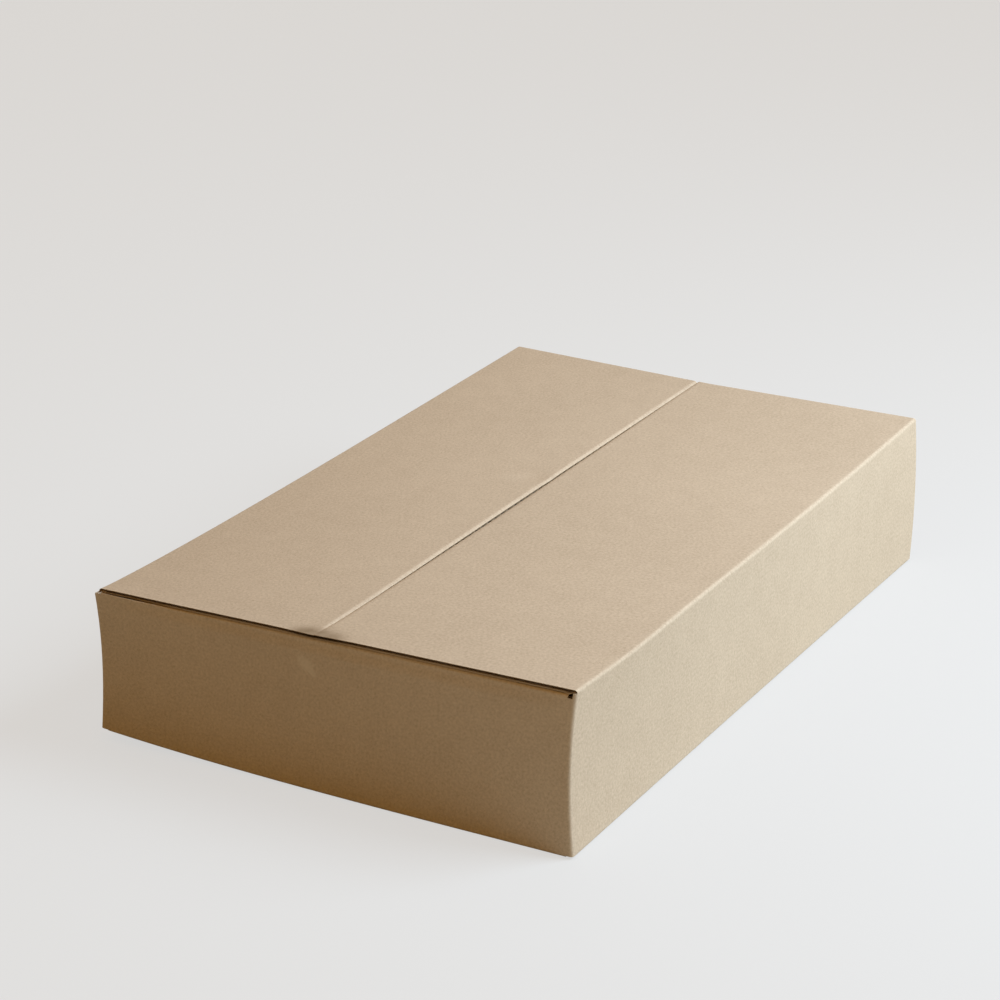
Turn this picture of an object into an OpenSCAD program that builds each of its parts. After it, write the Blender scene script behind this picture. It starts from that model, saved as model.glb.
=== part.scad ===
// Shallow shipping carton, closed, folded from one slotted sheet of corrugated board.
// Its walls, glued lap, end flaps and bottom flaps are one piece.
// The two outer top flaps are drawn apart, because they swing on their creases.
// Length lies along X, width along Y, and the carton stands on z = 0.

/* [Carton] */
// Outside length
carton_length = 400; // [300:5:600]
// Outside width
carton_width = 250; // [150:5:360]
// Outside height
carton_height = 80; // [50:1:300]

/* [Board] */
// Thickness of the board
board_t = 3; // [1.5:0.1:5]
// Radius on the inside of a fold
fold_inner_r = 0.5; // [0.2:0.1:0.9]
// Thickness of the paper that faces each side of the board
liner_t = 0.4; // [0.2:0.1:0.6]
// Depth of the flute that lies open along an outer flap's cut ends
open_flute_depth = 2.5; // [0.5:0.5:5]

/* [Slots and seams] */
// Gap between an end flap and the long walls beside it
end_flap_clearance = 1; // [1:0.1:3]
// Distance of a top outer flap's cut ends from the end walls' outer faces
outer_flap_inset = 1; // [0:0.1:4]
// Depth that a top slot is cut past the end flap's face
slot_overcut = 1; // [0.2:0.1:3]
// Height above the floor at which the bottom slots end
foot_slot_height = 1; // [0.2:0.1:2]
// Run in which a bottom end flap climbs from its crease onto the outer flaps
climb_run = 6; // [4:0.5:12]
// Gap between the free edges of two outer flaps
seam_gap = 1; // [0.3:0.1:6]
// Gap between a top flap's mitred edge and its wall's
crease_gap = 0.1; // [0.05:0.05:0.3]

/* [Glued lap] */
// Width of the lap
lap_width = 35; // [20:1:60]
// Amount that the lap's free edge is shorter at each end
lap_taper = 8; // [0:1:12]
// Gap between the lap and the end flaps above and below it
lap_clearance = 2; // [0.5:0.5:5]
// Gap between the end wall's cut edge and the back wall's outer face
joint_gap = 0.5; // [0:0.1:3]

/* [Hidden] */
$fn = 48;
kraft = [0.76, 0.66, 0.52];

half_length = carton_length / 2;
half_width = carton_width / 2;
// Every flap of the sheet has one reach: half the width, less its share of the seam
flap_reach = half_width - seam_gap / 2;
fold_outer_r = fold_inner_r + board_t;
// Strip that a slot takes off a panel, from the carton's corner
slot_strip = board_t + end_flap_clearance;
slot_high = carton_height - board_t - slot_overcut;
// The end walls stand on the floor, and their top flaps lie one board below the outer ones
end_height = carton_height - board_t;
climb_end = fold_outer_r + climb_run;
lap_low = 2 * board_t + lap_clearance;
lap_high = carton_height - lap_low;
top_flap_end = half_length - outer_flap_inset;
bottom_flap_end = half_length - climb_end - end_flap_clearance;
// Overlap of a cutting shape past the faces that it opens
cut_margin = 1;

// Rectangle with its two left corners rounded
module left_rounded(width, height, radius) {
    translate([radius, 0])
        square([width - radius, height]);
    translate([0, radius])
        square([radius, height - 2 * radius]);
    for (level = [radius, height - radius])
        translate([radius, level])
            circle(radius);
}

// Section through a wall and the flaps at its foot and top, from the outer face inwards
module folded_section(height) {
    difference() {
        left_rounded(flap_reach, height, fold_outer_r);
        translate([board_t, board_t])
            left_rounded(flap_reach, height - 2 * board_t, fold_inner_r);
    }
}

// Region of a long wall's section that its top flap takes, above the 45 degree mitre
module flap_region(gap) {
    depth = 2 * board_t;
    polygon([
        [gap, carton_height],
        [gap + depth, carton_height - depth],
        [gap + flap_reach, carton_height - depth],
        [gap + flap_reach, carton_height]
    ]);
}

// Extrudes a section of the front wall along X between two ends
module along_length(from, to) {
    translate([from, -half_width, 0])
        rotate([90, 0, 90])
            linear_extrude(to - from)
                children();
}

// Section of an end wall: its bottom flap climbs from the floor onto the outer flaps
module end_section() {
    difference() {
        folded_section(end_height);
        translate([fold_outer_r, 0])
            square([flap_reach, board_t]);
    }
    polygon([
        [fold_outer_r, 0],
        [climb_end, board_t],
        [flap_reach, board_t],
        [flap_reach, 2 * board_t],
        [climb_end, 2 * board_t],
        [fold_outer_r, board_t]
    ]);
}

// Channels along both cut ends of a front outer flap whose lower face is at the given level
module open_flutes(flap_end, level) {
    for (side = [0, 1])
        mirror([side, 0, 0])
            translate([flap_end - open_flute_depth, fold_outer_r - half_width, level + liner_t])
                cube([open_flute_depth + cut_margin, half_width, board_t - 2 * liner_t]);
}

// Outer flap of the front wall, cut from the part of the wall's section that is given
module outer_flap(flap_end, level) {
    difference() {
        along_length(-flap_end, flap_end)
            intersection() {
                folded_section(carton_height);
                children();
            }
        open_flutes(flap_end, level);
    }
}

// Long wall with its bottom flap, as the front one; joint_side shortens the wall at +X
module long_wall(joint_side) {
    wall_end = half_length - slot_strip;
    along_length(-wall_end, wall_end - joint_side)
        difference() {
            folded_section(carton_height);
            flap_region(0);
            translate([fold_outer_r, 0])
                square([flap_reach, board_t]);
        }
    outer_flap(bottom_flap_end, 0)
        translate([fold_outer_r, 0])
            square([flap_reach, board_t]);
}

// End wall with its top and bottom flaps, at -X
module end_wall() {
    translate([-half_length, half_width - slot_strip, 0])
        rotate([90, 0, 0])
            linear_extrude(carton_width - 2 * slot_strip)
                end_section();
}

// Plan of an upright fold, with its outer corner at the origin
module corner_plan() {
    tail = slot_strip - fold_outer_r;
    translate([fold_outer_r, fold_outer_r])
        intersection() {
            difference() {
                circle(fold_outer_r);
                circle(fold_inner_r);
            }
            translate([-fold_outer_r, -fold_outer_r])
                square(fold_outer_r);
        }
    translate([fold_outer_r, 0])
        square([tail, board_t]);
    translate([0, fold_outer_r])
        square([board_t, tail]);
}

// Upright fold between the slots, at the corner where the two mirror flags put it
module corner_fold(flip_x, flip_y, set_in) {
    mirror([flip_x, 0, 0])
        mirror([0, flip_y, 0])
            translate([set_in - half_length, -half_width, foot_slot_height])
                linear_extrude(slot_high - foot_slot_height)
                    corner_plan();
}

// Lap that carries on from the back wall and is glued inside the end wall
module glued_lap() {
    root = half_width - slot_strip;
    tip = half_width - lap_width;
    translate([half_length - 2 * board_t, 0, 0])
        rotate([90, 0, 90])
            linear_extrude(board_t)
                polygon([
                    [root, lap_low],
                    [root, lap_high],
                    [tip, lap_high - lap_taper],
                    [tip, lap_low + lap_taper]
                ]);
}

// Strip of the end wall that runs past its slot to the glued corner and ends in a cut edge
module joint_edge() {
    translate([half_length - board_t, half_width - slot_strip, foot_slot_height])
        cube([board_t, slot_strip - joint_gap, slot_high - foot_slot_height]);
}

// Outer top flap of the front wall, mitred at its crease
module top_flap() {
    outer_flap(top_flap_end, carton_height - board_t)
        flap_region(crease_gap);
}

module carton_body() {
    color(kraft) {
        long_wall(0);
        mirror([0, 1, 0])
            long_wall(board_t);
        end_wall();
        mirror([1, 0, 0])
            end_wall();
        corner_fold(0, 0, 0);
        corner_fold(0, 1, 0);
        corner_fold(1, 0, 0);
        corner_fold(1, 1, board_t);
        glued_lap();
        joint_edge();
    }
}

module front_top_flap() {
    color(kraft)
        top_flap();
}

module back_top_flap() {
    color(kraft)
        mirror([0, 1, 0])
            top_flap();
}

carton_body();
front_top_flap();
back_top_flap();
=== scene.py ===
# %% [markdown]
# # A shallow shipping carton, folded from one sheet
# The real carton is a flat sheet of corrugated board with creases and slots. It is folded into a
# sleeve, glued at one corner, and closed by four flaps below and four above.
# This lesson keeps that order: fold the sheet, put it a little out of true, add the paper layers,
# then the kraft finish, the light and the camera.
# The packed model is the frame: it gives the sizes and the two flaps that swing.

# %% Load the frame and keep its box
import math
from functools import partial

import bpy
import numpy as np
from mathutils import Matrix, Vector


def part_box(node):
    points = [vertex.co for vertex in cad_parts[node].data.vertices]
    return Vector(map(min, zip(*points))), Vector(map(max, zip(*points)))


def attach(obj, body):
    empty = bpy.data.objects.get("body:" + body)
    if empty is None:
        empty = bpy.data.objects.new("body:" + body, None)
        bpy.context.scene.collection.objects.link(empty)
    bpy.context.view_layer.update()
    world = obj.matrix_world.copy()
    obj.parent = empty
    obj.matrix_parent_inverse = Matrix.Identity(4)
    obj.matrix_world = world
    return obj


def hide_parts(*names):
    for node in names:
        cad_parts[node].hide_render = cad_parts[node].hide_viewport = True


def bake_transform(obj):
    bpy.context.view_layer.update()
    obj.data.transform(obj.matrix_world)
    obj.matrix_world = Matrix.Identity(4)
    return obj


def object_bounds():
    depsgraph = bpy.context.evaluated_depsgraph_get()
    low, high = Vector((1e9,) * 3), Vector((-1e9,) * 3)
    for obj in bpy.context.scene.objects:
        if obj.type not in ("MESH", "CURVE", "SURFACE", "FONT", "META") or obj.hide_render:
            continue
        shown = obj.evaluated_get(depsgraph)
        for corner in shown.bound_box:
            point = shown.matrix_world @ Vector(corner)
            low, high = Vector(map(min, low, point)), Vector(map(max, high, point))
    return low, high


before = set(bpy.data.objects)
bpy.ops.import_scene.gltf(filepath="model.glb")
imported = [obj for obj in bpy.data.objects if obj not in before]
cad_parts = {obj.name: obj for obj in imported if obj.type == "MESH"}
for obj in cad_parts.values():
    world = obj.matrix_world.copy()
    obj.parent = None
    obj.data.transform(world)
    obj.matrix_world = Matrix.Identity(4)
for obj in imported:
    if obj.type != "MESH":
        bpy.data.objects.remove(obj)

cad_low, cad_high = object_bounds()
print("carton in metres:", [round(side, 4) for side in cad_high - cad_low])

# %% [markdown]
# ## The sheet
# Single-wall board has two flat papers, the liners, with a waved paper between them.
# The overall sizes and the flaps' reach come from the frame. The papers, creases and slots are
# too fine to read there, so they are written down once, in millimetres.

# %% Sizes of the carton and its board
MM = 0.001
length, width, height = cad_high - cad_low
flap_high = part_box("front_top_flap")[1]
flap_reach = flap_high.y - cad_low.y
top_flap_end = flap_high.x

board = 3.0 * MM
liner = 0.4 * MM
# Outside radius of a fold, and its length on the flat sheet
fold_radius = 1.6 * MM
fold_run = fold_radius * math.pi / 2
# A slot takes this much off a panel, from the carton's corner, and at the top off its height too
slot_margin = 4.0 * MM
# At the foot the slots end just above the floor
foot_slot = 1.0 * MM
# A top end flap's crease lies less than a board lower, since it presses into the outer flaps' ends
end_crease_drop = 2.5 * MM
# A bottom end flap climbs from its crease onto the outer flaps, which stop short of the climb
climb_run, climb_rise, climb_clearance = 7.9 * MM, 3.1 * MM, 1.0 * MM
bottom_flap_end = length / 2 - fold_radius - climb_run - climb_clearance
long_flat = height / 2 - fold_radius
end_flat = long_flat - end_crease_drop
print("flap reach", round(flap_reach / MM, 1), "mm, fold", round(fold_run / MM, 2), "mm of sheet")

# %% [markdown]
# ## Folding by a formula
# A fold could be made with a bend modifier, but then each layer would bend by itself.
# Here every point of the sheet has three numbers: s along the panel, v up the panel from
# mid-height and on along its flap, and depth into the board. One function folds them all, so the
# layers stay together and the flat s and v can be kept as texture coordinates.
# Before it is folded, the board is scored: a wheel crushes it along the line to about half its
# thickness. That is why a fold in thick board can still look sharp from outside.

# %% Fold a panel and its flaps
LONG_WALLS = ("front", "back")
PANELS = {
    "back": {"along": (-1, 0), "inward": (0, -1), "half": width / 2, "span": length},
    "left": {"along": (0, -1), "inward": (1, 0), "half": length / 2, "span": width},
    "front": {"along": (1, 0), "inward": (0, 1), "half": width / 2, "span": length},
    "right": {"along": (0, 1), "inward": (-1, 0), "half": length / 2, "span": width},
}
# Share of the board's thickness that scoring takes, and how far beside the fold it fades out
score_crush, score_run = 0.55, 2.4 * MM


def smooth(share):
    """Goes from 0 to 1 with a soft start and end."""
    share = np.clip(share, 0, 1)
    return share ** 2 * (3 - 2 * share)


def scored(depth, from_middle):
    """Depth into the board, which is crushed at a fold; from_middle is measured from the fold's middle."""
    relaxed = smooth((np.abs(from_middle) - fold_run / 2) / score_run)
    return depth * (1 - score_crush * (1 - relaxed))


def flat_at(name, v):
    """Height of the flat wall from its middle, to the crease above it (v over 0) or below it."""
    top_flat = long_flat if name in LONG_WALLS else end_flat
    return np.where(v > 0, top_flat, long_flat)


def fold_up(name, v):
    """Inset and height of the outer face at v, and the inset and height of one step inwards."""
    flat = flat_at(name, v)
    side = np.sign(v)
    past = np.clip(np.abs(v) - flat, 0, None)
    angle = np.clip(past / fold_radius, 0, math.pi / 2)
    beyond = np.clip(past - fold_run, 0, None)
    inset = fold_radius * (1 - np.cos(angle)) + beyond
    rise = np.minimum(np.abs(v), flat) + fold_radius * np.sin(angle)
    return inset, height / 2 + side * rise, np.cos(angle), -side * np.sin(angle)


def panel_points(name, s, inset, z):
    """Points on a panel, from the place along it, the inset from its outer face and the height."""
    panel = PANELS[name]
    along = np.array(panel["along"])
    inward = np.array(panel["inward"])
    plan = s[..., None] * along + (inset[..., None] - panel["half"]) * inward
    return np.concatenate([plan, z[..., None]], axis=-1)


for name, panel in PANELS.items():
    flat_top = (flat_at(name, 1) / MM).round(1)
    print(name, "panel:", round(panel["span"] / MM), "mm long, flat up to", flat_top, "mm over its middle")

# %% [markdown]
# ## The seam between the outer flaps
# The two outer flaps meet a little behind the middle, because the carton was closed out of square.
# Half-way along, where the end flaps leave them without support, the gap is widest. A gap of one
# width would look machined, so its place and its width are formulas along the carton.

# %% Where the seam lies
seam_near, seam_far = 7.4 * MM, 8.2 * MM
gap_least, gap_more = 0.08 * MM, 0.44 * MM
gap_centre, gap_spread = -24 * MM, 52 * MM


def hump(x, centre, spread):
    """A smooth hump of height 1."""
    return np.exp(-((x - centre) / spread) ** 2)


def seam_line(x):
    """Where the seam lies across the carton, and the gap along it."""
    share = (x + length / 2) / length
    place = seam_near + (seam_far - seam_near) * share
    return place, gap_least + gap_more * hump(x, gap_centre, gap_spread)


print("seam from", round(seam_near / MM, 1), "to", round(seam_far / MM, 1), "mm behind the middle")

# %% [markdown]
# ## A lid that has settled
# Half-way along, the back flap stands proud of the front one. At the near end both corners are
# crushed, and the back flap has a small knock. These are moves along the board's own directions,
# so they are added while folding, and every layer follows them.

# %% How the top flaps settle
front_flap_sag, back_flap_rise = 0.3 * MM, 0.55 * MM
near_droop, near_droop_along, droop_ease = 0.2 * MM, 70 * MM, 3
crush_drop, crush_along, crush_across = 0.4 * MM, 7 * MM, 13 * MM
crushed_thickness = 0.5
# The knock is close to the seam, and longer one way than the other
dent_drop, dent_x, dent_y = 0.65 * MM, 21 * MM, 17.5 * MM
dent_turn, dent_long, dent_wide = math.radians(-61), 10 * MM, 5.5 * MM


def crushed_corner(x, from_edge):
    """How crushed an outer flap is, from its place along the carton and from its free edge."""
    return hump(x, -top_flap_end, crush_along) * hump(from_edge, 0, crush_across)


def dent(x, y):
    """The knock in the back flap, 1 at its deepest."""
    off_x, off_y = x - dent_x, y - dent_y
    along = off_x * math.cos(dent_turn) + off_y * math.sin(dent_turn)
    across = off_y * math.cos(dent_turn) - off_x * math.sin(dent_turn)
    return hump(along, 0, dent_long) * hump(across, 0, dent_wide)


def flap_share(inset):
    """0 at a flap's crease, 1 at its free edge."""
    return np.clip((inset - fold_radius) / (flap_reach - fold_radius), 0, 1)


def settle_outer_flap(name, s, inset, depth):
    """How far the board of an outer top flap moves, as more inset and more height."""
    side = PANELS[name]["along"][0]
    x = s * side
    place, gap = seam_line(x)
    reach = width / 2 + side * place - gap / 2
    share = flap_share(inset)
    longer = share * (reach - flap_reach)
    unsupported = share ** 2 * (1 - (x / top_flap_end) ** 2)
    if name == "front":
        rise = -front_flap_sag * unsupported
    else:
        y = width / 2 - inset - longer
        droop = near_droop * hump(x, -top_flap_end, near_droop_along) * (1 - (1 - share) ** droop_ease)
        rise = back_flap_rise * unsupported - droop - dent_drop * dent(x, y)
    crushed = crushed_corner(x, (1 - share) * flap_reach)
    rise = rise - crush_drop * crushed * (1 - (1 - crushed_thickness) * depth / board)
    return longer, rise


proud = front_flap_sag + back_flap_rise
print("half-way along, the back flap stands", round(proud / MM, 2), "mm proud of the front one")

# %% [markdown]
# ## Out of true
# A hand-closed carton is never a perfect box. Its corners are pushed a few millimetres, its
# upright edges bow, its long folds sag, one lower corner curls off the floor and one end wall
# flares at its top corner. A lattice modifier could do this, but a formula on the points is easier
# to read and repeats exactly. All pieces use it, so neighbours stay together.

# %% Corner offsets, bows and sags
# Each corner: its sides in x and y, then its offset at the foot and the top and its bow between
CORNERS = [
    ((-1, 1), (0.0, 1.5, 0.0), (-1.8, -2.1, -1.5), (1.2, -0.4, 0.0)),
    ((-1, -1), (0.5, -1.3, 0.0), (1.5, -1.5, 0.5), (0.0, 2.3, 0.0)),
    ((1, -1), (-3.5, 1.5, 0.0), (-1.0, 3.0, 0.5), (2.5, -0.5, 0.0)),
    ((1, 1), (0.0, 0.0, 0.0), (2.0, -2.5, 1.0), (0.5, 0.5, 0.0)),
]
front_top_bow, front_foot_bow, front_top_sag = -2.3 * MM, 0.6 * MM, 0.5 * MM
# Close to the near corner the front wall's top also bulges
bulge_out, bulge_x, bulge_along, bulge_power = 1.6 * MM, -148 * MM, 45 * MM, 2
back_top_bow, back_top_sag, back_bow_lean = -2.2 * MM, 1.2 * MM, 0.6
far_end_dip = 1.6 * MM
# Powers by which a wall's bow fades away from that wall, and a top fold's sag fades below it
wall_fade, top_fade = 2, 3
foot_curl, curl_power = 4.8 * MM, 3.5
corner_flare, flare_height_power, flare_reach_power = 4.2 * MM, 3, 10
# The flared corner of the end wall has ridden up beside the lid; only its outer face does so
ear_lift, ear_height_power, ear_reach_power, ear_depth = 3.7 * MM, 6, 5, 1.8 * MM


def arch(share):
    """0 at both ends and 1 half-way."""
    return 4 * share * (1 - share)


def out_of_true(points, flared=False):
    """Moves points of the true carton to where the real, slightly racked one has them."""
    x, y, z = points[..., 0], points[..., 1], points[..., 2]
    right = np.clip(x / length + 0.5, 0, 1)
    back = np.clip(y / width + 0.5, 0, 1)
    up = np.clip(z / height, 0, 1)
    moved = points.copy()
    for (side_x, side_y), foot, top, bow in CORNERS:
        share = (right if side_x > 0 else 1 - right) * (back if side_y > 0 else 1 - back)
        for axis in range(3):
            offset = foot[axis] * (1 - up) + top[axis] * up + bow[axis] * arch(up)
            moved[..., axis] += share * offset * MM
    middle = np.sin(math.pi * right)
    front = (1 - back) ** wall_fade
    moved[..., 1] += front * middle * (front_top_bow * up + front_foot_bow * (1 - up))
    moved[..., 1] -= front * bulge_out * hump(x, bulge_x, bulge_along) * up ** bulge_power
    moved[..., 2] -= front * middle * front_top_sag * up ** top_fade
    leaning = np.sin(math.pi * right ** back_bow_lean) * back ** wall_fade
    moved[..., 1] += leaning * back_top_bow * up
    moved[..., 2] -= leaning * back_top_sag * up ** top_fade
    towards_seam = 1 - np.abs(2 * back - 1)
    moved[..., 2] -= far_end_dip * towards_seam * right ** wall_fade * up ** top_fade
    moved[..., 2] += foot_curl * ((1 - right) * back) ** curl_power * (1 - up)
    if flared:
        near_corner = (1 - right) * back
        outer = smooth(1 - (x + length / 2) / ear_depth)
        # The fold stretches between the flared end wall and the back wall, which stays where it is
        tail = slot_margin - fold_radius
        from_slot = smooth((slot_margin - length / 2 - x) / tail)
        on_end_wall = smooth((width / 2 - fold_radius - y) / tail)
        flare = corner_flare * np.maximum(from_slot, on_end_wall)
        moved[..., 0] -= flare * near_corner ** flare_reach_power * up ** flare_height_power
        moved[..., 2] += ear_lift * near_corner ** ear_reach_power * outer * up ** ear_height_power
    return moved


probe = np.array([[-length / 2, width / 2, height]])
print("back left top corner moves", ((out_of_true(probe) - probe)[0] / MM).round(2), "mm")

# %% [markdown]
# ## A sheet of paper as a closed mesh
# A plane with a Solidify modifier would do for a flat liner. The waved paper and the slots need
# more say, so this helper makes a grid twice, at a near and a far depth, keeps only the cells that
# are paper, and closes the rim with side faces. Each face knows whether it is a cut edge.

# %% Helpers for grids and papers
# Coarse places keep this many of the last fine step away from it
step_clearance = 1.3


def graded(low, high, step, fine):
    """Places from low to high about one step apart, with finer ones close to both ends."""
    inner = np.linspace(low, high, max(2, round((high - low) / step)) + 1)
    clear = fine[-1] * step_clearance
    inner = inner[(inner > low + clear) & (inner < high - clear)]
    near = low + np.array(fine)
    far = high - np.array(fine)[::-1]
    return np.concatenate([near, inner, far])


def paper(columns, rows, near, far, places, keep=None, wear_and_light=None, shift=0.0):
    """A closed paper between two depths; keep says which cells are there."""
    s, v = np.meshgrid(columns, rows, indexing="ij")
    count = s.size
    sides = [places(s, v, depth(s, v)).reshape(-1, 3) for depth in (near, far)]
    points = np.concatenate(sides)
    flat = np.stack([s.ravel() + shift, v.ravel()], axis=-1)
    rubbed = np.zeros(count) if wear_and_light is None else wear_and_light(s, v).ravel()
    mid_s = (s[:-1, :-1] + s[1:, 1:]) / 2
    mid_v = (v[:-1, :-1] + v[1:, 1:]) / 2
    cells = np.ones(mid_s.shape, bool) if keep is None else keep(mid_s, mid_v)
    corner = np.arange(count).reshape(s.shape)
    around = [corner[:-1, :-1], corner[1:, :-1], corner[1:, 1:], corner[:-1, 1:]]
    quads = np.stack(around, axis=-1)[cells]
    ringed = np.pad(cells, 1)
    beside = [ringed[1:-1, :-2], ringed[2:, 1:-1], ringed[1:-1, 2:], ringed[:-2, 1:-1]]
    rims = []
    for edge in range(4):
        open_side = cells & ~beside[edge]
        first = around[edge][open_side]
        second = around[(edge + 1) % 4][open_side]
        rims.append(np.stack([second, first, first + count, second + count], axis=-1))
    rim = np.concatenate(rims)
    faces = np.concatenate([quads, quads[:, ::-1] + count, rim])
    cut = np.concatenate([np.zeros(2 * len(quads)), np.ones(len(rim))])
    used, faces = np.unique(faces, return_inverse=True)
    return {
        "points": points[used],
        "flat": np.concatenate([flat, flat])[used],
        "rubbed": np.concatenate([rubbed, rubbed])[used],
        "faces": faces.reshape(-1, 4),
        "cut": cut,
    }


def at_depth(depth):
    """A depth that is the same all over a paper."""
    return lambda s, v: np.full(s.shape, depth)


print("places on half the length:", len(graded(0, length / 2, board, [0, liner])))

# %% [markdown]
# A mesh object needs more than points and faces. Its UV map holds the flat sheet's own places, and
# two attributes say how worn each point is, with painted highlight and shade, and which faces are
# cut edges. A material can read both.

# %% Turn papers into a piece
# Faces that meet at more than this angle keep a crisp edge
sharp_angle = math.radians(40)


def placed(name, data):
    """A new object in the scene."""
    made = bpy.data.objects.new(name, data)
    bpy.context.scene.collection.objects.link(made)
    return made


def joined(papers, key):
    """One kind of number from all papers, as Blender wants it."""
    return np.concatenate([part[key] for part in papers]).astype(np.float32)


def piece_from(name, papers):
    """One mesh object from several papers, with its flat places, its points' paleness (partly a painted
    highlight) and painted shade, and its cut faces.
    """
    starts = np.cumsum([0] + [len(part["points"]) for part in papers[:-1]])
    points = np.concatenate([part["points"] for part in papers])
    faces = np.concatenate([part["faces"] + start for part, start in zip(papers, starts)])
    flat = joined(papers, "flat")
    mesh = bpy.data.meshes.new(name)
    mesh.from_pydata(points.tolist(), [], faces.tolist())
    corners = np.empty(len(mesh.loops), np.int32)
    mesh.loops.foreach_get("vertex_index", corners)
    flat_map = mesh.uv_layers.new(name="flat_sheet")
    flat_map.data.foreach_set("uv", flat[corners].ravel())
    rubbed = mesh.attributes.new("rubbed", "FLOAT", "POINT")
    rubbed.data.foreach_set("value", joined(papers, "rubbed"))
    cut = mesh.attributes.new("cut_edge", "FLOAT", "FACE")
    cut.data.foreach_set("value", joined(papers, "cut"))
    mesh.polygons.foreach_set("use_smooth", np.ones(len(mesh.polygons), bool))
    mesh.set_sharp_from_angle(angle=sharp_angle)
    print(name, "has", 2 * len(faces), "triangles")
    return placed(name, mesh)


print("edges over", round(math.degrees(sharp_angle)), "degrees stay crisp")

# %% [markdown]
# ## The sleeve's plan
# The four walls, their upright folds and the glued lap are one band. Its plan is walked from the
# lap's free edge round to the cut joint edge, with straight runs and quarter turns. The distance
# walked is u, and it is also each panel's place on the flat sheet, so that the paper's grain runs
# on over every fold.

# %% Walk round the sleeve's plan
lap_width, lap_low, lap_taper = 35 * MM, 8 * MM, 8 * MM
joint_gap = 0.5 * MM
straight_runs = [
    lap_width - fold_radius,
    length - board - 2 * fold_radius,
    width - 2 * fold_radius,
    length - 2 * fold_radius,
    width - fold_radius - joint_gap,
]


def plan_legs():
    """Each leg of the plan: where it starts on the sheet and in plan, its heading, length and kind."""
    legs = []
    at = np.array([length / 2 - board, width / 2 - lap_width])
    heading = math.pi / 2
    u = 0.0
    for number, run in enumerate(straight_runs):
        legs.append((u, at, heading, run, "wall"))
        ahead = np.array([math.cos(heading), math.sin(heading)])
        at = at + run * ahead
        u += run
        if number < len(straight_runs) - 1:
            legs.append((u, at, heading, fold_run, "fold"))
            left = np.array([-ahead[1], ahead[0]])
            at = at + fold_radius * (ahead + left)
            heading += math.pi / 2
            u += fold_run
    return legs, u


LEGS, sleeve_run = plan_legs()
FOLDS = [start for start, at, heading, run, kind in LEGS if kind == "fold"]
wall_starts = [(start, at) for start, at, heading, run, kind in LEGS if kind == "wall"]
# What has to be added to a panel's s to get its u; PANELS are in the order of the walk, after the lap
SHEET_SHIFT = {
    name: start - float(np.dot(at, PANELS[name]["along"]))
    for name, (start, at) in zip(PANELS, wall_starts[1:])
}
# The other layers of the board are set apart on the sheet, so that no two have the same grain
INNER_SHIFT, FLUTE_SHIFT = 3.0, 6.0
# The two liners: near and far depth, and the shift on the sheet
LAYERS = [(0, liner, 0.0), (board - liner, board, INNER_SHIFT)]
print("the sleeve is", round(sleeve_run / MM), "mm round, with", len(FOLDS), "upright folds")

# %% [markdown]
# ## Strips of wall, crease and flap
# Each panel is made as strips. A strip starts on the flat of the wall, runs over the crease and
# out along the flap, so no seam falls on a bend where it would show. The flaps and the flat wall
# beside a slot have different lengths, so each part of a strip keeps to its own.
# The knife that cut the sheet has pressed the board together along every free edge.

# %% Place a strip's points
pinch_run, pinch_level, pinch_share = 1.7 * MM, 0.6 * board, 0.55
blunt_along = 13 * MM
# An end flap's crease presses the outer flaps' ends thinner, and the end flap then dives under them
end_pinch, end_pinch_run = 0.36, 5 * MM
end_flap_dive, dive_run = 1.0 * MM, 3.5 * MM
end_flap_droop = 3.0 * MM
# Between its corners an end wall leans in under the lid
end_lean, lean_power = 0.9 * MM, 4
# Strips start on the wall, this far below the top
strip_margin = 10 * MM
strip_start = height / 2 - strip_margin


def flap_edge(flat):
    """Place of a flap's free edge on the sheet."""
    return flat + fold_run + flap_reach - fold_radius


def pinched(name, s, v, depth):
    """Depth into the board, which is thinner close to a flap's free edge."""
    from_edge = flap_edge(flat_at(name, v)) - np.abs(v)
    closeness = np.clip(1 - from_edge / pinch_run, 0, 1)
    share = pinch_share * closeness ** 2
    if name in LONG_WALLS:
        # The crushed corners at the seam's near end are blunt
        x = s * PANELS[name]["along"][0]
        share = share * np.where(v > 0, 1 - hump(x, -top_flap_end, blunt_along), 1.0)
        on_flap = smooth((v - long_flat - fold_run) / end_pinch_run)
        at_end = smooth(1 - (top_flap_end - np.abs(s)) / end_pinch_run)
        depth = depth * (1 - end_pinch * on_flap * at_end)
    return pinch_level + (depth - pinch_level) * (1 - share)


def strip_places(name, s, v, depth):
    """Points of a panel's strip: wall, crease and flap."""
    flat = flat_at(name, v)
    depth = scored(pinched(name, s, v, depth), np.abs(v) - flat - fold_run / 2)
    inset, z, step_in, step_up = fold_up(name, v)
    if name in LONG_WALLS:
        longer, top_rise = settle_outer_flap(name, s, inset, depth)
        foot_rise = 0.0
    else:
        half = PANELS[name]["span"] / 2 - slot_margin
        leaning = smooth((v - strip_start) / (flat - strip_start))
        longer = end_lean * leaning * (1 - (s / half) ** lean_power)
        dive = end_flap_dive * smooth((inset - fold_radius) / dive_run)
        top_rise = -end_flap_droop * flap_share(inset) - dive
        foot_rise = climb_rise * smooth((inset - fold_radius) / climb_run)
    inset = inset + np.where(v > 0, longer, 0.0) + depth * step_in
    z = z + np.where(v > 0, top_rise, foot_rise) + depth * step_up
    return out_of_true(panel_points(name, s, inset, z), flared=name == "left")


middle, outside = np.zeros(1), np.zeros(1)
free_edge = strip_places("front", middle, middle + flap_edge(long_flat), outside)[0]
print("the front flap's free edge, half-way along:", (free_edge / MM).round(1), "mm")

# %% [markdown]
# ## A strip's grid
# The grid is fine at creases and cut edges, where the board bends, and coarse between them. Even
# cells would need many times the faces for the same fold.

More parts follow.
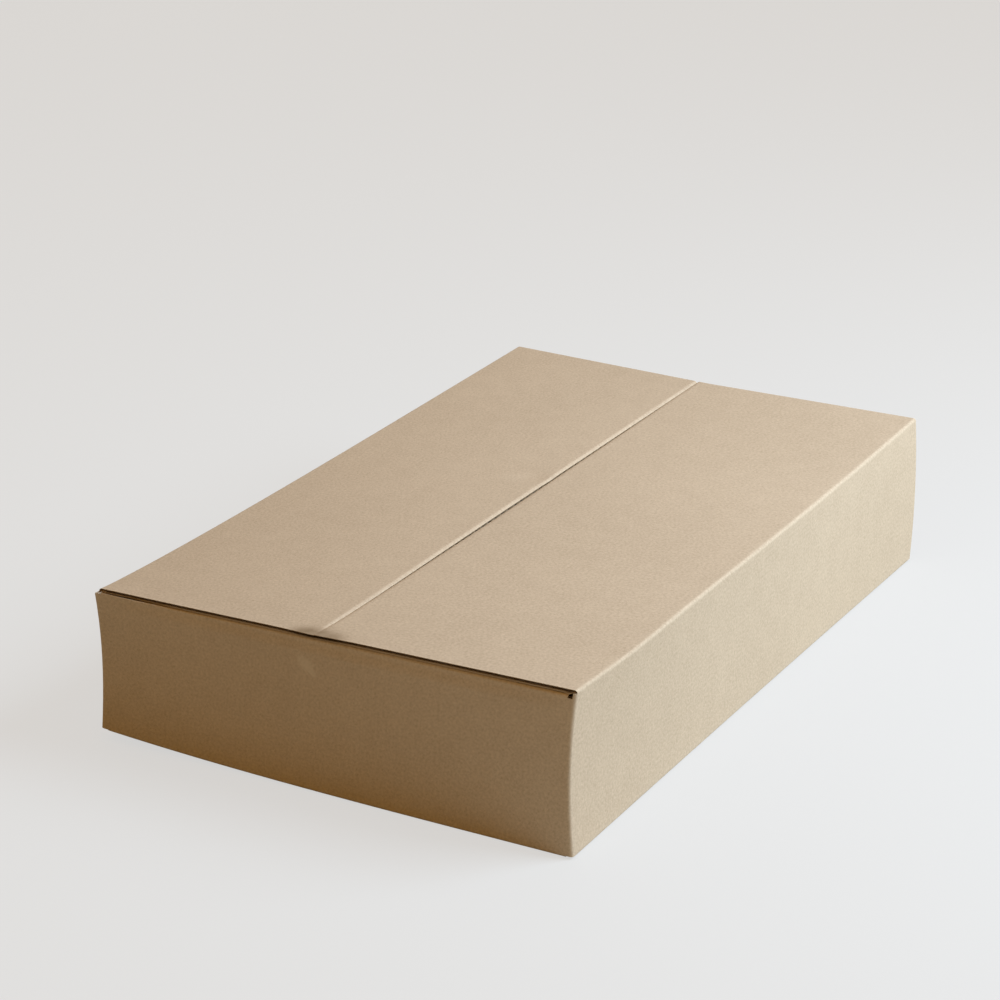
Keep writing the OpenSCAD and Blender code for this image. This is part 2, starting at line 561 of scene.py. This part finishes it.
# %% Rows and reach of a strip
fine_steps = [0, 0.6 * MM, 1.4 * MM, 2.6 * MM, 4.2 * MM, 6.4 * MM, 9.5 * MM, 13.5 * MM]
grid_step = 9 * MM
fold_pieces = 8
wall_lines, pressed_shares = 4, np.array([0.75, 0.5, 0.25])


def strip_rows(flat):
    """Rows from the wall over the crease to the flap's free edge."""
    crease = flat + np.linspace(0, fold_run, fold_pieces + 1)
    wall = np.linspace(strip_start, flat - score_run, wall_lines)
    pressed = flat - score_run * pressed_shares
    flap = graded(crease[-1], flap_edge(flat), grid_step, fine_steps)
    return np.concatenate([wall, pressed, crease, flap[1:]])


def strip_reach(name, side):
    """Half the length of a strip's wall and of its flap."""
    wall_half = PANELS[name]["span"] / 2 - slot_margin
    if name not in LONG_WALLS:
        return wall_half, wall_half
    return wall_half, top_flap_end if side > 0 else bottom_flap_end


print("a long strip has", len(strip_rows(long_flat)), "rows")

# %% [markdown]
# ## Wear and painted light
# How worn the paper is goes with each point as a number: above zero where a fold or an edge is
# rubbed pale, along the flaps' cut edges partly as a painted highlight, and below zero for painted
# shade on the crushed corners. The finish reads it later.

# %% How a strip is worn, with painted light and shade
rub_width, crease_rub = 1.5 * MM, 0.35
# Cut edges are paler: partly wear, partly a painted highlight along the flaps' edges
rim_pale_width, rim_wear_and_highlight = 0.7 * MM, 0.38
# How far the painted shade on the crushed corners spreads
corner_shade_spread = 1.4


def strip_wear_and_light(name, side):
    """Paleness of a strip's crease and cut edges, partly a painted highlight on the cut edges, and painted
    shade on crushed corners.
    """
    flat = flat_at(name, side)
    flap_half = strip_reach(name, side)[1]
    towards = PANELS[name]["along"][0]

    def rubbed(s, v):
        from_edge = flap_edge(flat) - np.abs(v)
        on_crease = hump(np.abs(v), flat + fold_run / 2, rub_width)
        from_end = np.clip(flap_half - np.abs(s), 0, None)
        on_ends = np.exp(-from_end / rim_pale_width) * (np.abs(v) > flat + fold_run / 2)
        on_edge = np.exp(-from_edge / rim_pale_width)
        # Crease paleness is wear; cut edge paleness is wear and a painted highlight
        rub = np.clip(crease_rub * on_crease + rim_wear_and_highlight * (on_ends + on_edge), 0, 1)
        if name in LONG_WALLS and side > 0:
            # Crushed corners get painted shade, stored below zero
            brown = smooth(corner_shade_spread * crushed_corner(s * towards, from_edge))
            rub = rub * (1 - brown) - brown
        return rub
    return rubbed


near_end = strip_wear_and_light("front", 1)(np.array([-top_flap_end]), np.array([flap_edge(long_flat)]))[0]
print("wear of the corner at the seam's near end:", round(near_end, 2))

# %% [markdown]
# ## A strip's liners
# A strip is one grid with cells left out: its wall and its flap have their own ends. Both liners
# are made from it, the outer one at the board's face and the inner one at its back.

# %% Liners of a strip
# Lines closer than these decimals of a metre are one line
column_digits, row_digits = 6, 7
# Finer lines round the knock in the back flap
dent_reach, dent_edge_reach, dent_step = 18 * MM, 8 * MM, 1.5 * MM
dent_from_edge = 9 * MM


def both_liners(columns, rows, places, keep, wear_and_light, shift=0.0):
    """The outer and the inner liner, as two papers."""
    made = []
    for near, far, layer_shift in LAYERS:
        depths = at_depth(near), at_depth(far)
        made.append(paper(columns, rows, *depths, places, keep, wear_and_light, shift + layer_shift))
    return made


def strip_liners(name, side):
    """Both liners of a panel's upper (side 1) or lower (side -1) strip."""
    flat = flat_at(name, side)
    wall_half, flap_half = strip_reach(name, side)
    # The back wall is one board shorter at the glued corner
    wall_from = board - wall_half if name == "back" else -wall_half
    # A top crease swings with its flap and is as long; a bottom one belongs to the wall
    wall_top = flat if side > 0 else flat + fold_run
    half_span = max(wall_half, flap_half)
    columns = graded(-half_span, half_span, grid_step, fine_steps)
    lines = [-wall_half, wall_from, wall_half, -flap_half, flap_half]
    rows = strip_rows(flat)
    if name == "back" and side > 0:
        lines = np.concatenate([lines, np.arange(-dent_reach, dent_reach, dent_step) - dent_x])
        dent_row = flap_edge(flat) - dent_from_edge
        rows = np.concatenate([rows, np.arange(-dent_reach, dent_edge_reach, dent_step) + dent_row])
    columns = np.unique(np.concatenate([columns, lines]).round(column_digits))
    rows = np.unique((side * rows).round(row_digits))

    def keep(s, v):
        in_wall = (s > wall_from) & (s < wall_half)
        return np.where(np.abs(v) < wall_top, in_wall, np.abs(s) < flap_half)

    places = partial(strip_places, name)
    return both_liners(columns, rows, places, keep, strip_wear_and_light(name, side), SHEET_SHIFT[name])


print("an end flap's outer liner has", len(strip_liners("left", 1)[0]["faces"]), "faces")

# %% [markdown]
# ## The sleeve
# Between the strips runs the sleeve. Its walls stop where the strips start, and only its upright
# folds and its cut joint edge go on to the slots. The lap is a paper of its own, narrower towards
# its free edge, and lies against the inside of the end wall.

# %% Place the sleeve's points
slot_row, foot_row = height / 2 - slot_margin, height / 2 - foot_slot
# Beside a long wall the fold goes on, just into the outer flap's crease
crease_overlap = 0.25 * MM
high_row = long_flat + crease_overlap
fold_tail = slot_margin - fold_radius
# That higher part of each fold, from where the fold starts: it leaves out the corner that flares
HIGH_PARTS = [
    (0, fold_run + fold_tail),
    (-fold_tail, 0),
    (0, fold_run + fold_tail),
    (-fold_tail, fold_run),
]
lap_run = straight_runs[0]
joint_start = sleeve_run - (slot_margin - joint_gap)
touching = 1e-9


def sleeve_places(u, v, depth):
    """Points of the sleeve at u round the sheet, v from mid-height and some depth."""
    from_folds = [np.abs(u - start - fold_run / 2) for start in FOLDS]
    depth = scored(depth, np.min(from_folds, axis=0))
    points = np.zeros(u.shape + (3,))
    for start, at, heading, run, kind in LEGS:
        here = (u >= start - touching) & (u <= start + run + touching)
        ahead = np.array([math.cos(heading), math.sin(heading)])
        left = np.array([-ahead[1], ahead[0]])
        step = u[here] - start
        if kind == "wall":
            plan = at + step[:, None] * ahead + depth[here][:, None] * left
        else:
            turn = (step / fold_radius)[:, None]
            inner = (fold_radius - depth[here])[:, None]
            plan = at + fold_radius * left + inner * (np.sin(turn) * ahead - np.cos(turn) * left)
        points[here, :2] = plan
    points[..., 2] = height / 2 + v
    return out_of_true(points, flared=True)


def lap_places(u, v, depth):
    """The lap narrows towards its free edge."""
    narrower = 1 - (1 - u / lap_run) * lap_taper / (height / 2 - lap_low)
    return sleeve_places(u, v * narrower, depth)


lap_tall = height - 2 * lap_low
print("the lap is", round(lap_run / MM, 1), "mm wide and", round(lap_tall / MM), "mm tall at its fold")

# %% [markdown]
# The sleeve is one grid right round the carton. Cells are left out where the strips take over and
# where the slots are cut, so the upright folds stand a little taller than the walls between them.

# %% The sleeve's grid
between_rows = (slot_row + strip_start) / 2
tail_parts, after_tail = 4, [5 * MM, 9 * MM]
tail_steps = [*np.linspace(0, fold_tail, tail_parts + 1), *after_tail]
sleeve_lines = 9
sleeve_rows = np.concatenate([
    [-foot_row, -slot_row, -between_rows],
    np.linspace(-strip_start, strip_start, sleeve_lines),
    [between_rows, slot_row, high_row],
])


def sleeve_columns():
    """Places round the sheet: finer over the folds, with a line where each slot ends."""
    places = []
    for start, at, heading, run, kind in LEGS:
        if kind == "fold":
            places.append(start + np.linspace(0, run, fold_pieces + 1))
        else:
            places.append(graded(start, start + run, grid_step, tail_steps))
    places.append(np.array([joint_start]))
    return np.unique(np.concatenate(places).round(row_digits))


def in_sleeve(u, v):
    """The walls stop where the strips start; the folds and the joint edge go on to the slots."""
    tall = u > joint_start
    taller = np.zeros(u.shape, bool)
    for start, (low, high) in zip(FOLDS, HIGH_PARTS):
        tall |= (u > start - fold_tail) & (u < start + fold_run + fold_tail)
        taller |= (u > start + low) & (u < start + high)
    in_rows = np.where(v < slot_row, tall | (np.abs(v) < strip_start), taller)
    return (u > lap_run - fold_tail) & in_rows


print("the sleeve has", len(sleeve_columns()), "columns and", len(sleeve_rows), "rows")

# %% [markdown]
# The sleeve's liners are made as a strip's are. Its upright folds are rubbed, and so is the cut edge
# at the glued corner. The lap is inside, so nothing has rubbed it.

# %% The sleeve's liners and its lap
lap_lines, lap_fine = 7, 3


def sleeve_wear(u, v):
    """Upright folds and the joint's cut edge are paler."""
    rubbed = np.exp(-(sleeve_run - u) / rim_pale_width)
    for start in FOLDS:
        rubbed = rubbed + crease_rub * hump(u, start + fold_run / 2, rub_width)
    return np.clip(rubbed, 0, 1)


def sleeve_liners():
    """Both liners of the sleeve and of the lap inside the end wall."""
    columns = sleeve_columns()
    lap_columns = graded(0, lap_run - fold_tail, grid_step, fine_steps[:lap_fine])
    lap_rows = np.linspace(lap_low - height / 2, height / 2 - lap_low, lap_lines)
    sleeve = both_liners(columns, sleeve_rows, sleeve_places, in_sleeve, sleeve_wear)
    return sleeve + both_liners(lap_columns, lap_rows, lap_places, None, None)


print("sleeve and lap are", len(sleeve_liners()), "papers")

# %% [markdown]
# ## The waved paper
# At a cut edge you look into the board and see the wave between the liners. The wave runs the
# same way as the walls stand, so a flap's free edge shows it from the end, as a row of arches,
# and a flap's side shows one open channel. It is real geometry here, because a bump would stay
# flat at the edge. Behind the creases the wave is crushed and hidden, so it starts past them.

# %% Make the wave inside a flap
wave_pitch, wave_points = 6.5 * MM, 9
wave_paper = 0.25 * MM
open_flute = 2.5 * MM
wave_start = 12 * MM
wave_play = 0.01 * MM
wave_height = (board - 2 * liner - wave_paper) / 2 - wave_play
wave_step, wave_fine = 26 * MM, 5


def flap_wave(name, side):
    """The waved paper in a panel's upper (side 1) or lower (side -1) flap."""
    flat = flat_at(name, side)
    half_span = strip_reach(name, side)[1] - open_flute
    waves = round(2 * half_span / wave_pitch)
    columns = np.linspace(-half_span, half_span, waves * wave_points + 1)
    first_row = flat + fold_run + wave_start
    rows = np.sort(side * graded(first_row, flap_edge(flat), wave_step, fine_steps[:wave_fine]))

    def wave(s, v, step):
        turn = 2 * math.pi * waves * (s + half_span) / (2 * half_span)
        return board / 2 - wave_height * np.cos(turn) + step

    near, far = [partial(wave, step=step) for step in (-wave_paper / 2, wave_paper / 2)]
    places = partial(strip_places, name)
    return paper(columns, rows, near, far, places, None, None, SHEET_SHIFT[name] + FLUTE_SHIFT)


print("waves", round(2 * wave_height / MM, 2), "mm high, about", round(wave_pitch / MM, 1), "mm apart")

# %% [markdown]
# ## The pieces
# The walls, lap, end flaps and bottom flaps move as one, so they are one piece of liners and one
# of waved paper. Both ride on the carton's body.

# %% Build the body of the carton
# The flaps that stay: those of the end walls above, and all four below
FIXED_FLAPS = [("left", 1), ("right", 1), ("left", -1), ("right", -1), ("front", -1), ("back", -1)]
carton_papers = sleeve_liners()
for name, side in FIXED_FLAPS:
    carton_papers += strip_liners(name, side)
carton_liners = piece_from("carton_liners", carton_papers)
carton_waves = piece_from("carton_waves", [flap_wave(name, side) for name, side in FIXED_FLAPS])
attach(carton_liners, "carton")
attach(carton_waves, "carton")
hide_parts("carton_body")

# %% [markdown]
# ## The flaps that swing
# Each outer top flap is its own piece, with a strip of wall below its crease. Its waved paper rides
# on the flap's body. The carton is out of true, so its creases lie a little off the true ones; how
# far is worked out and printed.

# %% Build the two outer top flaps
drift_samples = 21


def crease_drift(side):
    """How far a real crease lies inwards and up from the true one: its mean, and its slope along x."""
    x = np.linspace(-top_flap_end, top_flap_end, drift_samples)
    true_crease = np.stack([x, np.full(x.shape, side * width / 2), np.full(x.shape, height)], axis=-1)
    off = out_of_true(true_crease) - true_crease
    slope, mean = np.polyfit(x, off[:, 2] - side * off[:, 1], 1)
    return mean, slope


def outer_flap(name):
    """Liners and waved paper of an outer top flap."""
    side = -1 if name == "front" else 1
    mean, slope = crease_drift(side)
    print(name, "crease lies", round(mean / MM, 2), "mm off the true one")
    liners = piece_from(name + "_flap_liners", strip_liners(name, 1))
    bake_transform(liners)
    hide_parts(name + "_top_flap")
    waves = piece_from(name + "_flap_waves", [flap_wave(name, 1)])
    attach(waves, name + "_flap")
    return [liners, waves]


board_pieces = [carton_liners, carton_waves] + outer_flap("front") + outer_flap("back")
print(len(board_pieces), "pieces of board")

# %% [markdown]
# ## Kraft paper
# Kraft is brown pulp with visible fibres: pale and dark flecks about a millimetre long, a faint
# cloudiness from the paper machine, and a dull surface. A photograph on a plane would repeat and
# blur, so the finish is made of noise at several scales on the flat sheet's own coordinates.

# %% Small helpers for shader nodes


class Finish:
    """The nodes of a material or of the world, with helpers that add, set and link them."""

    def __init__(self, owner):
        owner.use_nodes = True
        self.owner, self.tree = owner, owner.node_tree

    def fill(self, node, inputs):
        """Sets a node's inputs to plain values, or links other nodes' outputs to them."""
        for key, value in inputs.items():
            if isinstance(value, bpy.types.NodeSocket):
                self.tree.links.new(value, node.inputs[key])
            else:
                node.inputs[key].default_value = value
        return node

    def add(self, kind, inputs=None, **settings):
        """A new node with its settings and inputs."""
        node = self.tree.nodes.new(kind)
        for key, value in settings.items():
            setattr(node, key, value)
        return self.fill(node, inputs or {})

    def noise(self, where, size, detail, roughness=0.6):
        """Noise with features about as large as size, in metres."""
        inputs = {"Vector": where, "Scale": 1 / size, "Detail": detail, "Roughness": roughness}
        return self.add("ShaderNodeTexNoise", inputs, noise_dimensions="2D").outputs["Fac"]

    def spread(self, value, low, high, to_low=0.0, to_high=1.0):
        """Stretches a value from low..high to another range, and holds it there."""
        inputs = {"Value": value, "From Min": low, "From Max": high, "To Min": to_low, "To Max": to_high}
        return self.add("ShaderNodeMapRange", inputs).outputs["Result"]

    def sums(self, first, second, share):
        """first plus share of second."""
        inputs = {0: second, 1: share, 2: first}
        return self.add("ShaderNodeMath", inputs, operation="MULTIPLY_ADD").outputs["Value"]

    def times(self, first, second):
        """first times second."""
        return self.add("ShaderNodeMath", {0: first, 1: second}, operation="MULTIPLY").outputs["Value"]

    def tint(self, share, colour, other):
        """colour, going over to other by share."""
        node = self.add("ShaderNodeMix", {"Factor": share}, data_type="RGBA")
        ends = [number for number, socket in enumerate(node.inputs) if socket.type == "RGBA"]
        self.fill(node, dict(zip(ends, (colour, other))))
        return next(socket for socket in node.outputs if socket.type == "RGBA")

    def bump(self, relief, strength, depth):
        """A fine relief, as the surface's normal."""
        inputs = {"Height": relief, "Strength": strength, "Distance": depth}
        return self.add("ShaderNodeBump", inputs).outputs["Normal"]

    def cover(self, colour, roughness, shine, more):
        """Gives a material's surface its colour, its dullness and what else it needs."""
        inputs = {"Base Color": colour, "Roughness": roughness, "Specular IOR Level": shine}
        self.fill(self.tree.nodes["Principled BSDF"], inputs | more)


print("node helpers:", [name for name in vars(Finish) if not name.startswith("_")])

# %% [markdown]
# ## Fibres
# A fibre is a short line. Noise that is squeezed one way gives such lines, and cutting it off at a
# high level leaves only a few of them.

# %% Fibres in the paper
fleck_long, fleck_thin = 2.2 * MM, 0.40 * MM
fleck_detail, fleck_rough = 1.0, 0.5


def fleck_mask(finish, where, angle, low, high):
    """Short fibres that lie one way, as a mask."""
    turned = finish.add("ShaderNodeMapping", {"Vector": where, "Rotation": (0, 0, angle)})
    stretch = (fleck_thin / fleck_long, 1, 1)
    scaled = finish.add("ShaderNodeMapping", {"Vector": turned.outputs["Vector"], "Scale": stretch})
    fibres = finish.noise(scaled.outputs["Vector"], fleck_thin, fleck_detail, fleck_rough)
    return finish.spread(fibres, low, high)


print("fibres about", round(fleck_long / MM, 1), "mm long")

# %% [markdown]
# ## A scuff
# Something has rubbed one end wall. The mask is an ellipse on the flat sheet, with a rim that noise
# has made ragged. A smooth ellipse would look like a stamp.

# %% The scuff on the end wall
# Its place on the left panel, its lie and its size
scuff_along, scuff_up, scuff_turn = -9.2 * MM, 22 * MM, math.radians(-38)
scuff_long, scuff_wide, scuff_ragged = 7.5 * MM, 4.2 * MM, 1.6
# Noise from its low and high to the low and high of the change, and the mask's rim and full part
scuff_by_mottle, scuff_rim, scuff_full = (0.3, 0.7, -0.5, 0.5), 1.0, 0.4


def scuff_mask(finish, sheet, mottle):
    """A small ragged patch on the end wall."""
    lie = {
        "Vector": sheet,
        "Location": (SHEET_SHIFT["left"] + scuff_along, scuff_up, 0),
        "Rotation": (0, 0, scuff_turn),
        "Scale": (scuff_long, scuff_wide, 1),
    }
    turned = finish.add("ShaderNodeMapping", lie, vector_type="TEXTURE")
    off_centre = finish.add("ShaderNodeVectorMath", {0: turned.outputs["Vector"]}, operation="LENGTH")
    uneven = finish.spread(mottle, *scuff_by_mottle)
    ragged = finish.sums(off_centre.outputs["Value"], uneven, scuff_ragged)
    return finish.spread(ragged, scuff_rim, scuff_full)


print("scuff", round(2 * scuff_long / MM), "by", round(2 * scuff_wide / MM), "mm")

# %% [markdown]
# ## The liners' finish
# The tone mixes noise of three sizes, most of it fine grain. Then come the fibres, the rubbed folds
# and edges with a painted highlight along the flaps' cut edges, the scuff, painted shade on the
# crushed corners and the cut edges, each as a mask that goes over to its own colour.
# Noise breaks the masks up, so none has a drawn border.

# %% The kraft liner
kraft_pale = (0.650, 0.512, 0.374, 1)
kraft_deep = (0.505, 0.388, 0.275, 1)
fleck_pale = (0.720, 0.600, 0.455, 1)
fleck_dark = (0.330, 0.235, 0.145, 1)
# Pale of rubbed folds and edges and of the scuff, and a painted highlight along the flaps' cut edges
rubbed_pale = (0.710, 0.595, 0.455, 1)
cut_brown = (0.460, 0.345, 0.230, 1)
# Painted shade on the crushed corners
corner_shade_brown = (0.285, 0.200, 0.122, 1)
cloud_size, mottle_size, grain_size = 90 * MM, 12 * MM, 1.4 * MM
cloud_share, mottle_share, grain_share = 0.10, 0.16, 0.74
cloud_detail, paper_detail, grain_rough = 2.0, 4.0, 0.7
tone_low, tone_high = 0.34, 0.66
# Pale and dark fibres: their lie, the noise that makes them and their share
pale_way, pale_low, pale_high, pale_share = 0.5, 0.60, 0.74, 0.30
dark_way, dark_low, dark_high, dark_share = -0.9, 0.62, 0.76, 0.35
# How noise changes a mask or the roughness: from its low and high to the low and high of the other
pale_by_grain = (0.35, 0.6, 0.25, 0.8)
corner_shade_by_mottle = (0.3, 0.7, 0.6, 1.0)
liner_roughness = (0.3, 0.7, 0.80, 0.94)
scuff_share, cut_share, liner_shine = 0.55, 0.6, 0.25
fleck_relief, bump_strength, bump_depth = 0.35, 0.30, 0.12 * MM


def paper_noise(finish):
    """The flat sheet's own coordinates, and the mottle and the grain on them."""
    sheet = finish.add("ShaderNodeUVMap", uv_map="flat_sheet").outputs["UV"]
    mottle = finish.noise(sheet, mottle_size, paper_detail)
    return sheet, mottle, finish.noise(sheet, grain_size, paper_detail, grain_rough)


def kraft_paper():
    """The brown paper of the liners."""
    finish = Finish(bpy.data.materials.new("kraft_liner"))
    sheet, mottle, grain = paper_noise(finish)
    cloud = finish.noise(sheet, cloud_size, cloud_detail)
    tone = finish.sums(finish.times(cloud, cloud_share), mottle, mottle_share)
    tone = finish.sums(tone, grain, grain_share)
    colour = finish.tint(finish.spread(tone, tone_low, tone_high), kraft_deep, kraft_pale)
    pale = fleck_mask(finish, sheet, pale_way, pale_low, pale_high)
    dark = fleck_mask(finish, sheet, dark_way, dark_low, dark_high)
    colour = finish.tint(finish.times(pale, pale_share), colour, fleck_pale)
    colour = finish.tint(finish.times(dark, dark_share), colour, fleck_dark)
    rubbed = finish.add("ShaderNodeAttribute", attribute_name="rubbed").outputs["Fac"]
    # Paler where rubbed, and partly a painted highlight along the cut edges
    pale_wear_and_highlight = finish.times(finish.spread(rubbed, 0.0, 1.0), finish.spread(grain, *pale_by_grain))
    colour = finish.tint(pale_wear_and_highlight, colour, rubbed_pale)
    scuffed = finish.times(scuff_mask(finish, sheet, mottle), scuff_share)
    colour = finish.tint(scuffed, colour, rubbed_pale)
    # Painted shade on the crushed corners, from the values below zero
    crushed = finish.times(finish.spread(rubbed, 0.0, -1.0), finish.spread(mottle, *corner_shade_by_mottle))
    colour = finish.tint(crushed, colour, corner_shade_brown)
    cut = finish.add("ShaderNodeAttribute", attribute_name="cut_edge").outputs["Fac"]
    colour = finish.tint(finish.times(cut, cut_share), colour, cut_brown)
    normal = finish.bump(finish.sums(grain, pale, fleck_relief), bump_strength, bump_depth)
    finish.cover(colour, finish.spread(grain, *liner_roughness), liner_shine, {"Normal": normal})
    return finish.owner


liner_finish = kraft_paper()
print("the liners' finish has", len(liner_finish.node_tree.nodes), "nodes")

# %% [markdown]
# ## The waved paper's finish
# The wave is of thinner, browner paper and is seen only at cut edges. It needs no wear, so a tone
# of two noises and a fine bump are enough.

# %% The waved paper's finish
wave_pale = (0.440, 0.320, 0.200, 1)
wave_deep = (0.330, 0.230, 0.135, 1)
wave_mottle_share, wave_grain_share = 0.5, 0.5
wave_tone_low, wave_tone_high = 0.35, 0.65
wave_roughness, wave_shine = (0.3, 0.7, 0.86, 0.96), 0.2
wave_bump_depth = 0.10 * MM


def wave_finish():
    """The thinner, browner paper of the wave."""
    finish = Finish(bpy.data.materials.new("kraft_wave"))
    sheet, mottle, grain = paper_noise(finish)
    tone = finish.sums(finish.times(mottle, wave_mottle_share), grain, wave_grain_share)
    colour = finish.tint(finish.spread(tone, wave_tone_low, wave_tone_high), wave_deep, wave_pale)
    normal = finish.bump(grain, bump_strength, wave_bump_depth)
    finish.cover(colour, finish.spread(grain, *wave_roughness), wave_shine, {"Normal": normal})
    return finish.owner


inside_finish = wave_finish()
for piece in board_pieces:
    piece.data.materials.append(inside_finish if piece.name.endswith("waves") else liner_finish)
print("finishes:", liner_finish.name, "and", inside_finish.name)

# %% [markdown]
# ## The floor
# The carton stands on a plain pale floor. To the camera it is pale, and part of that paleness is a
# glow of its own, so it stays even and still takes the shadow. Light that bounces meets a plain
# mid grey instead, so the floor doesn't wash the dark end wall out.

# %% A pale floor
floor_half = 9.0
floor_drop = 0.3 * MM
floor_rough, floor_shine = 0.9, 0.1
floor_pale = (0.17, 0.172, 0.175, 1)
floor_glow, glow_strength = (1.0, 0.995, 0.985, 1), 0.62
floor_dim = (0.54, 0.57, 0.54, 1)


def seen_directly(finish):
    """1 for what the camera sees straight, in a mirror or through glass, else 0."""
    path = finish.add("ShaderNodeLightPath")
    seen = path.outputs["Is Camera Ray"]
    for ray in ("Is Glossy Ray", "Is Transmission Ray"):
        either = finish.add("ShaderNodeMath", {0: seen, 1: path.outputs[ray]}, operation="MAXIMUM")
        seen = either.outputs["Value"]
    return seen


def make_floor():
    """A wide square just under the carton."""
    mesh = bpy.data.meshes.new("floor")
    corners = [(-1, -1), (1, -1), (1, 1), (-1, 1)]
    points = [(x * floor_half, y * floor_half, -floor_drop) for x, y in corners]
    mesh.from_pydata(points, [], [(0, 1, 2, 3)])
    floor = placed("floor", mesh)
    finish = Finish(bpy.data.materials.new("floor_pale"))
    seen = seen_directly(finish)
    glow = {"Emission Color": floor_glow, "Emission Strength": finish.times(seen, glow_strength)}
    finish.cover(finish.tint(seen, floor_dim, floor_pale), floor_rough, floor_shine, glow)
    mesh.materials.append(finish.owner)
    return floor


floor = make_floor()
print("floor", [round(side, 1) for side in floor.dimensions], "m")

# %% [markdown]
# ## The fill
# The world is the fill light: dim and warm, since it is what reaches the dark end wall. Seen
# straight it is pale like the floor, so the picture has a quiet background from every side.

# %% A quiet world
sky_pale = (0.84, 0.83, 0.81, 1)
sky_dim = (0.33, 0.19, 0.052, 1)

world = bpy.data.worlds.new("studio")
bpy.context.scene.world = world
studio = Finish(world)
sky_colour = studio.tint(seen_directly(studio), sky_dim, sky_pale)
studio.fill(studio.tree.nodes["Background"], {"Color": sky_colour})
print("the fill's colour:", sky_dim[:3])

# %% [markdown]
# ## The lamp
# One large soft lamp, a little cool, lights the long wall and the lid from the right. It stands
# slightly behind the near end wall, which stays the darkest side.

# %% One large soft lamp
carton_centre = Vector((0, 0, height / 2))
lamp_way, lamp_distance = Vector((0.24, -0.67, 0.64)).normalized(), 1.15
lamp_size, lamp_watts, lamp_colour = 0.72, 20.1, (0.675, 0.835, 0.985)


def facing(target, way, distance, name, data):
    """A lamp or camera that faces a target from the given way."""
    made = placed(name, data)
    made.location = target + way * distance
    made.rotation_mode = "QUATERNION"
    made.rotation_quaternion = way.to_track_quat("Z", "Y")
    return made


lamp_data = bpy.data.lights.new("window_lamp", "AREA")
lamp_data.shape = "SQUARE"
lamp_data.size = lamp_size
lamp_data.energy = lamp_watts
lamp_data.color = lamp_colour
lamp = facing(carton_centre, lamp_way, lamp_distance, "window_lamp", lamp_data)
print("lamp at", [round(value, 2) for value in lamp.location])

# %% [markdown]
# ## The camera
# It looks down on the near corner with a long lens, so that parallel edges run together only a
# little. Two angles, a distance and the point that it looks at give its place.

# %% The camera
view_azimuth, view_elevation = math.radians(-60.8), math.radians(21.1)
view_distance = 1.64
view_target = Vector((0.0788, 0.0657, 0.0387))
lens_mm, sensor_mm = 110.4, 36.0

camera_data = bpy.data.cameras.new("photo_camera")
camera_data.lens = lens_mm
camera_data.sensor_width = sensor_mm
back_way = Vector((
    math.sin(view_azimuth) * math.cos(view_elevation),
    -math.cos(view_azimuth) * math.cos(view_elevation),
    math.sin(view_elevation),
))
camera = facing(view_target, back_way, view_distance, "photo_camera", camera_data)
bpy.context.scene.camera = camera
bpy.context.scene.view_settings.view_transform = "Standard"
print("camera at", [round(value, 3) for value in camera.location])

# %% [markdown]
